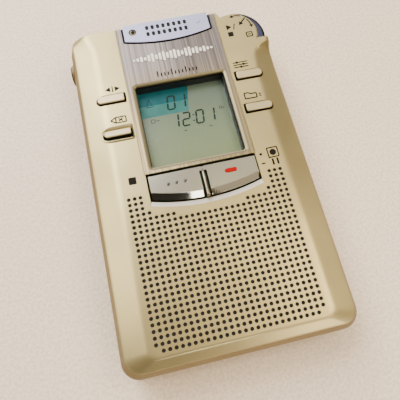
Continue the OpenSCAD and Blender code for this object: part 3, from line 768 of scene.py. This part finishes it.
# The looks of the CAD nodes that no made piece stands for
CAD_LOOKS = {
    "grille_felt": FELT, "back_case": PAINT, "display_frame": BLACK, "lcd_connectors": RUBBER,
    "microphone": STEEL, "microphone_boot": RUBBER, "speaker_frame": STEEL, "speaker_cone": CONE,
    "speaker_magnet": STEEL, "speaker_gasket": RUBBER, "main_board": BOARD, "processor_chip": CHIP,
    "memory_chip": CHIP, "audio_chip": CHIP, "crystal": STEEL, "capacitors": TAN, "key_switches": STEEL,
    "earphone_socket": BLACK, "battery_left": JACKET, "battery_right": JACKET,
    "battery_spring_left": STEEL, "battery_spring_right": STEEL, "battery_contacts": STEEL,
    "case_screws": STEEL, "dial_switch": BLACK, "dial_base": BLACK, "dial_carrier": BLACK, "dial_axle": STEEL,
    "battery_door": PAINT,
}
for node, look in CAD_LOOKS.items():
    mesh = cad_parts[node].data
    mesh.materials.clear()
    mesh.materials.append(look)


# --- Pieces ------------------------------------------------------------------

piece(front_skin(), "case", PAINT, ["front_case", "socket_boss"])
piece(grille_skin(), "case", PAINT, ["speaker_grille"])
piece(scoop_highlight(), "case", SCOOP_HIGHLIGHT)
piece(cell_block("grille_lining", FACE - PANEL_T + 0.005, FACE - GRILLE_T - 0.003), "case", FELT)


def trim_plate():
    """The brushed strip, rounded over at the microphone end, with the window's opening."""
    c = 0.06
    low = FACE - TRIM_T
    rings = []
    for y in (TRIM_LOW, TRIM_LOW + c, 20.0, 43.6, 44.1, 44.35, 44.6, 44.8, TRIM_HIGH):
        top, h = FACE - top_inset(HALF_L - y), TRIM_HALF
        if y == TRIM_LOW:
            top, h = top - c, h - c
        profile = [(-h, low), (h, low), (h, top - c), (h - c, top), (-h + c, top), (-h, top - c)]
        rings.append([(x, y, z) for x, z in profile])
    plate = loft("trim_plate_skin", rings)
    opening = through("opening", lambda i: window_rect(1.5, 1.3), 2.0)
    return cut(plate, opening, through("bezel_cut", bezel_outline(-BEZEL_GAP), 2.0))


def window_rim():
    """The sloping rim between the strip and the window."""
    levels = [(-0.68, 0.0), (-0.34, 0.0), (-0.22, 0.05), (-0.12, 0.2)]
    levels += [(-0.03, 0.55), (0.0, 0.72), (0.01, 0.74)]
    inner = [[(x, y, FACE + z) for x, y in window_rect(2 * i, 0.6 + 0.8 * i)] for z, i in levels]
    outer = [[(x, y, FACE + z) for x, y in window_rect(1.49, 1.3)] for z in (0.01, -0.68)]
    return loft("window_rim", inner + outer + [inner[0]], caps=False)


piece(trim_plate(), "case", TRIM, ["trim_plate"])
piece(window_rim(), "case", RIM)
pane = stack("window_pane", lambda i: window_rect(0.5 - 2 * i, 0.8), rounded(13.62, 14.3, 0.1, 3))
piece(pane, "case", WINDOW, ["display_window"])

# Flat marks, as loops of points, and the display


def slab(name, loop, z, thick=0.02):
    """A thin solid on a height z."""
    return stack(name, lambda i: loop, [(z, 0), (z + thick, 0)])


def stroke(a, b, width):
    """A bar between two points, as a loop."""
    dx, dy = b[0] - a[0], b[1] - a[1]
    length = math.hypot(dx, dy)
    nx, ny = -dy / length * width / 2, dx / length * width / 2
    return [(x + side * nx, y + side * ny) for (x, y), side in ((a, -1), (b, -1), (b, 1), (a, 1))]


def strokes(points, width):
    """Bars that follow a line of points."""
    return [stroke(a, b, width) for a, b in zip(points, points[1:])]


def frame_loop(x0, y0, x1, y1, width):
    """Bars along the edges of a rectangle."""
    return strokes([(x0, y0), (x1, y0), (x1, y1), (x0, y1), (x0, y0 - width / 2)], width)


def arrow(points, width, head):
    """Strokes that end in a triangular head."""
    (ax, ay), (bx, by) = points[-2], points[-1]
    length = math.hypot(bx - ax, by - ay)
    ux, uy = (bx - ax) / length, (by - ay) / length
    tip = (bx + ux * head, by + uy * head)
    wing = head * 0.62
    sides = [(bx - uy * wing, by + ux * wing), (bx + uy * wing, by - ux * wing)]
    return strokes(points, width) + [[tip, *sides]]


def marks(name, loops, z, material, thick=0.02):
    """One flat piece from many loops, each at a slightly different height from its neighbours."""
    slabs = [slab(f"mark{i}", loop, z + 0.0007 * (i % 9), thick) for i, loop in enumerate(loops)]
    return piece(join(name, slabs), "case", material)


DIGITS = {"0": "abcdef", "1": "bc", "2": "abged"}


def digit(value, x, y, w, h, width=0.46, slant=0.12):
    """Seven-segment digit with its lower left corner at (x, y)."""
    gap = 0.12
    ends = {
        "a": ((gap, h), (w - gap, h)), "g": ((gap, h / 2), (w - gap, h / 2)), "d": ((gap, 0), (w - gap, 0)),
        "b": ((w, h / 2 + gap), (w, h - gap)), "c": ((w, gap), (w, h / 2 - gap)),
        "f": ((0, h / 2 + gap), (0, h - gap)), "e": ((0, gap), (0, h / 2 - gap)),
    }
    return [stroke(*[(x + px + slant * py, y + py) for px, py in ends[s]], width) for s in DIGITS[value]]


panel = box("lcd_panel", (-13.2, 0.5, LCD_TOP - 1.8), (13.2, 26.7, LCD_TOP))
piece(panel, "case", LCD, ["lcd_module"], soften=0.1)


def teal_patch(y_low, y_high, x_low, x_high):
    """A patch from the display's left edge to a slanting right edge."""
    return [(-12.0, y_low), (x_low, y_low), (x_high, y_high), (-12.0, y_high)]


def lcd_segments():
    """Two rows of digits with small signs beside and below them."""
    made = []
    for value, x in (("0", -4.5), ("1", -1.6)):
        made += digit(value, x, 18.8, 1.9, 4.0)
    for value, x in (("1", -4.6), ("2", -1.5), ("0", 2.2), ("1", 5.2)):
        made += digit(value, x, 13.2, 1.9, 3.8)
    made += [disc(1.55, 14.2, 0.22, 10), disc(1.75, 16.0, 0.22, 10)]
    made += strokes([(-10.2, 20.6), (-8.1, 20.6)], 0.16)
    made += strokes([(-9.9, 21.0), (-9.2, 22.9), (-8.4, 21.0)], 0.18)
    made += frame_loop(-9.6, 15.7, -8.6, 16.7, 0.14)
    made += strokes([(-8.3, 16.2), (-7.4, 16.2)], 0.16)
    for x, top in ((9.2, 17.2), (9.7, 17.0), (10.2, 16.8)):
        made += strokes([(x, 16.1), (x, top)], 0.16)
    for x in (-1.6, 5.2):
        made += strokes([(x, 11.8), (x + 0.8, 11.8)], 0.18)
    return made


marks("lcd_teal_low", [teal_patch(17.46, 20.95, 0.87, 1.41)], LCD_TOP, TEAL)
# Painted shade: the upper patch is a darker copy of the same teal, split off at a reflection edge
marks("lcd_teal_high", [teal_patch(20.96, 25.6, 1.41, 2.15)], LCD_TOP, TEAL_SHADED)
marks("lcd_segments", lcd_segments(), LCD_TOP + 0.025, SEGMENT)

# The wide keys, their divider and the marks on them


def wide_key(side):
    """One side of the arc-shaped block, with a slope down to its curved edge and room for the rib."""
    plan = arc_outline(ARC_Y, ARC_R - BAR_GAP, BAR_HALF - BAR_GAP - 0.12, -0.85)
    body = stack("wide_key", plan, [(FACE - 1.6, 0), (FACE - 0.15, 0), (FACE + 0.5, 0), (BAR_TOP, 0)])
    crest, beyond, over = ARC_R - BAR_GAP - 1.45, ARC_R + 2, BAR_TOP + 1
    slope = [(crest, BAR_TOP), (beyond, BAR_TOP - 2.55), (beyond, over), (crest, over)]
    cut(body, swept("slope", slope, 20, 30))
    for name, inner, outer, end in (("half", 0.07, 20, 20), ("rib_room", 0.92, 2, -1.95)):
        x = sorted((-side * outer, side * inner))
        cut(body, box(name, (x[0], -20, 0), (x[1], end, 30)))
    return body


def pip(x, radius):
    """Plan of a dot on the stop key, or of the ring cut round it."""
    return lambda inset: disc(x, PIP_Y, radius - inset, 20)


def pill(grow):
    """Plan of the record key's mark, wider and longer by grow."""

    def outline(inset):
        more = grow - 2 * inset
        return rounded_rect(6.78, -3.36, 3.0 + more, 1.02 + more, 0.5 + more / 2, 8)

    return outline


left_key, right_key = wide_key(-1), wide_key(1)
left_key.name, right_key.name = "stop_key_skin", "record_key_skin"
pip_levels = rounded(BAR_TOP - 0.3, BAR_TOP + 0.16, 0.14, 3)
pips = [stack(f"pip{i}", pip(x, 0.3), pip_levels) for i, x in enumerate(PIP_PLACES)]
for place in PIP_PLACES:
    cut(left_key, stack("pip_ring", pip(place, 0.42), [(BAR_TOP - 0.2, 0), (BAR_TOP + 1, 0)]))
cut(right_key, stack("pill_room", pill(0.06), [(BAR_TOP - 0.25, 0), (BAR_TOP + 1, 0)]))
piece(left_key, "stop_key", CHROME, ["stop_key"], soften=0.12)
piece(join("stop_pips", pips), "stop_key", GREY)
piece(right_key, "record_key", CHROME, ["record_key"], soften=0.12)
mark = stack("record_pill", pill(0), rounded(BAR_TOP - 0.24, BAR_TOP + 0.06, 0.08, 3))
piece(mark, "record_key", RED, ["record_mark"])


def divider():
    """The round-backed rib between the wide keys, narrower at both ends."""
    half, top, foot = 0.58, FACE + 1.3, FACE - 1.7
    ends = ((-8.6, 0.25), (-8.45, 0.08), (-8.2, 0.0), (-5.0, 0.0), (-2.5, 0.0), (-2.25, 0.1), (-2.1, 0.3))
    rings = []
    for y, less in ends:
        h = half - less
        profile = [(-h, foot), (h, foot)] + arc(0, top - half - less / 2, h, 0, 180, 10)
        rings.append([(x, y, z) for x, z in profile])
    return loft("divider_skin", rings)


piece(divider(), "case", RIB, ["key_divider"])

# Small keys


def small_key(name, outline, z_low, z_high, edge):
    """A key's solid, whose upper part follows the bevel beside it."""
    key = stack(name, outline, rounded(z_low, z_high, edge, 5) if edge else [(z_low, 0), (z_high, 0)])
    for v in key.data.vertices:
        over = abs(v.co.x) / MM - (HALF_W - FLAT_INSET)
        if over > 0 and v.co.z > (FACE - 0.5) * MM:
            v.co.z -= over * 0.2 * MM
    return key


for name, (side, y) in SMALL_KEYS.items():
    gap, less = (0.38, 0.25) if name == "erase_button" else (0.4, 0.0)
    length, width, start = KEY_L - 2 * gap - less, KEY_W - 2 * gap - 2 * less, KEY_X + gap
    outline = key_outline(side, y, length, width, start)
    cap = small_key(name + "_cap", outline, FACE + 0.28, FACE + 0.6, 0.2)
    piece(cap, name, KEY_PAINT, [name])
    # Painted shade: the key's lower part is black for the shadow on its side walls, which are painted like
    # the cap
    outline = key_outline(side, y, length - 0.1, width - 0.1, start + 0.05)
    shaded_side = small_key(name + "_skirt", outline, FACE - 1.8, FACE + 0.3, 0)
    piece(shaded_side, name, BLACK)

# Microphone bezel and lamp


def lamp_hole():
    """A round cutter that leaves the lamp's lens a little room."""
    return through("lamp_hole", lambda inset: disc(LAMP_X, LAMP_Y, LAMP_R + 0.16), 3.0)


def bezel():
    """A thin plate with an undercut edge, folded down over the end, with slots over dark felt."""
    end = HALF_L + 0.1
    plan = arc_outline(BEZEL_Y + BEZEL_R, BEZEL_R, BEZEL_HALF, end)
    levels = [(FACE - 1.1, 0.55), (FACE, 0.55), (FACE + 0.01, 0.05)]
    body = stack("bezel_skin", plan, levels + rounded(FACE + 0.02, BEZEL_TOP, 0.1, 4)[1:])
    wall = box("end_wall", (-BEZEL_HALF, HALF_L - 0.9, FACE - 5.4), (BEZEL_HALF, end, FACE - 0.4))
    combine(body, "UNION", wall)
    cut(body, box("felt_pocket", (-6.6, 40.0, FACE - 2), (6.6, 44.2, FACE + 0.06)))
    for y in (41.2, 43.3):
        for i in range(8):
            slot = rounded_rect((i - 3.5) * 1.53, y, 0.92, 1.5, 0.45, 8)
            cut(body, through("slot", lambda inset: slot, 1.0))
    return cut(body, lamp_hole())


def bezel_gap_shade():
    """Dark liner at the bottom of the gap around the bezel: painted shade for that gap."""
    plan = arc_outline(BEZEL_Y + BEZEL_R, BEZEL_R + 0.7, BEZEL_HALF + 0.7, HALF_L - 0.4)
    return cut(stack("bezel_gap_shade", plan, [(FACE - 1.2, 0), (FACE - 0.55, 0)]), lamp_hole())


def lamp_dome():
    """The lamp's domed lens on its long stem."""
    levels = [(9.0, 0.1), (14.2, 0.1), (14.25, 0), (14.7, 0.03)]
    levels += [(14.95, 0.16), (15.1, 0.4), (15.16, 0.66), (15.18, 0.88)]
    return stack("lamp_dome", lambda i: disc(LAMP_X, LAMP_Y, LAMP_R - i, 32), levels)


piece(bezel(), "case", BEZEL, ["microphone_bezel"], angle=28)
piece(bezel_gap_shade(), "case", FELT)
piece(lamp_dome(), "case", LENS, ["record_lamp"])
marks("lamp_centre", [disc(LAMP_X + 0.08, LAMP_Y - 0.05, 0.5)], FACE + 0.17, INK)
piece(slab("mic_dark", rounded_rect(0, 42.1, 13.0, 4.0, 0.3), FACE - 0.9, 0.95), "case", FELT)

# Dial


def dial():
    """A wheel with fine teeth round its rim, a dished top and a bore."""
    teeth, points_each, tooth = 110, 4, 0.09
    profile = [
        (1.56, 0.0), (7.5, 0.0), (8.0, 0.25), (8.12, 0.6), (8.12, DIAL_T - 0.75), (8.0, DIAL_T - 0.35),
        (7.6, DIAL_T - 0.08), (7.1, DIAL_T), (3.0, DIAL_T), (2.85, DIAL_T - 0.7), (1.56, DIAL_T - 0.7),
    ]
    rings = []
    for r, z in profile:
        depth = tooth if r > 7.9 else 0.0
        ring = []
        for i in range(teeth * points_each):
            a = 2 * math.pi * i / (teeth * points_each)
            reach = r - depth * (0.5 - 0.5 * math.cos(2 * math.pi * i / points_each))
            ring.append((DIAL_X + reach * math.cos(a), DIAL_Y + reach * math.sin(a), DIAL_TOP - DIAL_T + z))
        rings.append(ring)
    return loft("dial_skin", rings + [rings[0]], caps=False)


piece(dial(), "jog_dial", DIAL, ["jog_dial"])

# Printed symbols on the face


def split_symbol(x, y):
    """A bar between two triangles."""
    loops = strokes([(x, y - 0.9), (x, y + 0.9)], 0.32)
    for side in (-1, 1):
        base = x + side * 0.6
        loops += [[(x + side * 2.0, y), (base, y + 0.75), (base, y - 0.75)][:: -side]]
    return loops


def erase_symbol(x, y):
    """A pointed tag with a cross in it."""
    loops = frame_loop(x - 0.6, y - 0.8, x + 2.0, y + 0.8, 0.34)
    loops += strokes([(x - 0.6, y + 0.8), (x - 1.9, y), (x - 0.6, y - 0.8)], 0.34)
    for side in (-1, 1):
        loops += strokes([(x + 0.1, y + side * 0.4), (x + 1.2, y - side * 0.4)], 0.32)
    return loops


def folder_symbol(x, y):
    """A folder's outline with two dashes beside it."""
    folder = [(-1.7, -0.8), (1.5, -0.8), (1.5, 0.5), (-0.1, 0.5), (-0.5, 0.9), (-1.7, 0.9), (-1.7, -0.9)]
    loops = strokes([(x + dx, y + dy) for dx, dy in folder], 0.34)
    for dy in (-0.5, 0.1):
        loops += strokes([(x + 2.1, y + dy), (x + 2.7, y + dy)], 0.32)
    return loops


def mode_symbol(x, y):
    """Three sliders."""
    loops = []
    for i, knob in enumerate((-0.9, 0.8, 0.0)):
        row = y + 0.75 - 0.75 * i
        loops += strokes([(x - 2.0, row), (x + 2.0, row)], 0.3) + [disc(x + knob, row, 0.36, 14)]
    return loops


def key_symbols():
    """Generic signs beside the keys."""
    made = split_symbol(-17.8, 25.9) + erase_symbol(-17.8, 16.6)
    made += mode_symbol(17.2, 26.3) + folder_symbol(17.4, 16.4)
    made += [rounded_rect(-17.2, -0.7, 1.9, 1.9, 0.15, 3)]
    made += [disc(15.26, -0.6, 0.36, 20), disc(18.4, -0.6, 0.85, 24)]
    made += frame_loop(17.1, -1.9, 19.7, 0.7, 0.32)
    made += strokes([(14.8, -3.15), (15.75, -3.15)], 0.34)
    for x in (17.8, 19.0):
        made += strokes([(x, -4.0), (x, -2.3)], 0.5)
    return made


def dial_symbols():
    """Play, stop and card signs on the lobe over the dial, and arrows along its edge."""
    made = [[(17.9, 38.9), (16.4, 39.8), (16.4, 38.0)]]
    made += strokes([(18.3, 37.9), (18.9, 39.8)], 0.3)
    made += [rounded_rect(17.1, 36.5, 1.5, 1.5, 0.1, 2)]
    made += frame_loop(21.4, 34.8, 23.0, 36.2, 0.32)
    made += strokes([(21.8, 35.5), (22.6, 35.5)], 0.3)
    made += arrow(arc(19.7, 39.6, 2.85, 60, 105, 8), 0.34, 0.95)
    made += arrow([(22.4, 41.3), (20.95, 39.85)], 0.38, 1.15)
    return made + arrow(arc(18.6, 37.9, 4.9, 34, 8, 8), 0.34, 0.95)


def tick_row():
    """Ticks above the window, every fourth one longer."""
    made = []
    for i in range(12):
        x = -5.3 + i * 0.96
        made += strokes([(x, 27.1), (x, 28.9 if i % 4 == 0 else 28.2)], 0.34)
    return made


def wave_bars():
    """A sound wave as rounded bars of different lengths."""
    lengths = (0.5, 0.9, 1.5, 0.8, 1.9, 2.5, 1.3, 2.1, 2.8, 1.7, 2.3)
    lengths += (2.8, 1.9, 1.1, 2.4, 2.7, 1.5, 2.0, 1.0, 1.6, 0.8, 0.5)
    return [rounded_rect(-10.7 + i * 1.02, 33.3, 0.64, h + 0.2, 0.28, 4) for i, h in enumerate(lengths)]


def microphone_symbol(x):
    """A capsule in an arc on a stem."""
    made = [rounded_rect(x, 43.1, 0.7, 1.2, 0.34, 5)]
    made += strokes(arc(x, 42.9, 0.75, 200, 340, 8), 0.13)
    return made + strokes([(x, 42.15), (x, 41.7)], 0.13)


marks("printed_symbols", key_symbols() + dial_symbols(), FACE - 0.003, INK)
marks("trim_ticks", tick_row(), FACE - 0.003, INK)
marks("wave_relief", wave_bars(), FACE - 0.01, CREAM, thick=0.2)
marks("bezel_symbol", microphone_symbol(8.96), FACE + 0.118, INK)

# --- Table, light and camera -------------------------------------------------

table = build("table", [(-900, -900, 0), (900, -900, 0), (900, 900, 0), (-900, 900, 0)], [(0, 1, 2, 3)])
table.data.materials.append(table_top("table_top"))

# A dark card that the wide keys' slope mirrors
corners = [(-430, -560, 120), (-20, -560, 120), (-20, -520, 640), (-430, -520, 640)]
card = build("dark_card", corners, [(0, 1, 2, 3)])
card.data.materials.append(FELT)


def area_light(name, place, aim, size, power, colour):
    """A rectangle of light that faces the point aim."""
    data = bpy.data.lights.new(name, "AREA")
    data.shape = "RECTANGLE"
    data.size, data.size_y = size[0] * MM, size[1] * MM
    data.energy = power
    data.color = colour
    obj = bpy.data.objects.new(name, data)
    bpy.context.scene.collection.objects.link(obj)
    obj.location = Vector(place) * MM
    obj.rotation_euler = (Vector(place) - Vector(aim)).to_track_quat("Z", "Y").to_euler()


area_light("window_above", (-245, 440, 590), (0, 0, 0), (380, 460), 6.9, (0.97, 0.97, 1.0))
area_light("window_beside", (270, 430, 560), (0, 0, 0), (300, 400), 0.8, (1.0, 0.97, 0.94))
area_light("window_left", (-450, 130, 560), (0, 0, 0), (260, 300), 1.5, (1.0, 0.95, 0.86))
area_light("back_low", (-40, 680, 250), (0, 0, 0), (520, 180), 4.0, (1.0, 0.99, 0.97))
area_light("front_right", (310, -560, 160), (0, -20, 0), (380, 220), 1.9, (1.0, 0.91, 0.78))
area_light("grey_wall", (300, -430, 480), (0, -10, 10), (420, 260), 0.35, (1.0, 0.86, 0.66))
area_light("key_glint", (24, -540, 472), (0, -10, 15), (75, 160), 0.6, WHITE)
area_light("lamp_over", (360, -20, 600), (0, 0, 0), (260, 300), 2.3, (1.0, 0.89, 0.68))
area_light("lamp_front", (330, -400, 640), (0, 0, 0), (140, 120), 0.5, (1.0, 0.86, 0.66))
area_light("ceiling", (130, 130, 880), (0, 0, 0), (260, 300), 0.9, (1.0, 0.88, 0.62))

world = bpy.data.worlds.new("room")
world.use_nodes = True
background = world.node_tree.nodes["Background"]
background.inputs["Color"].default_value = (1.0, 0.66, 0.36, 1.0)
background.inputs["Strength"].default_value = 0.12
bpy.context.scene.world = world

# The photo's camera: focal length in millimetres, place over the face and turn in degrees
FOCAL, SENSOR = 36.853, 36.0
CAMERA_PLACE = (-11.417, -38.927, FACE + 93.129)
CAMERA_TURN = (18.5279, -1.2948, -13.0906)
lens = bpy.data.cameras.new("camera")
lens.lens, lens.sensor_width = FOCAL, SENSOR
lens.clip_start, lens.clip_end = 0.005, 20.0
camera = bpy.data.objects.new("camera", lens)
bpy.context.scene.collection.objects.link(camera)
camera.location = Vector(CAMERA_PLACE) * MM
camera.rotation_euler = [math.radians(a) for a in CAMERA_TURN]
bpy.context.scene.camera = camera
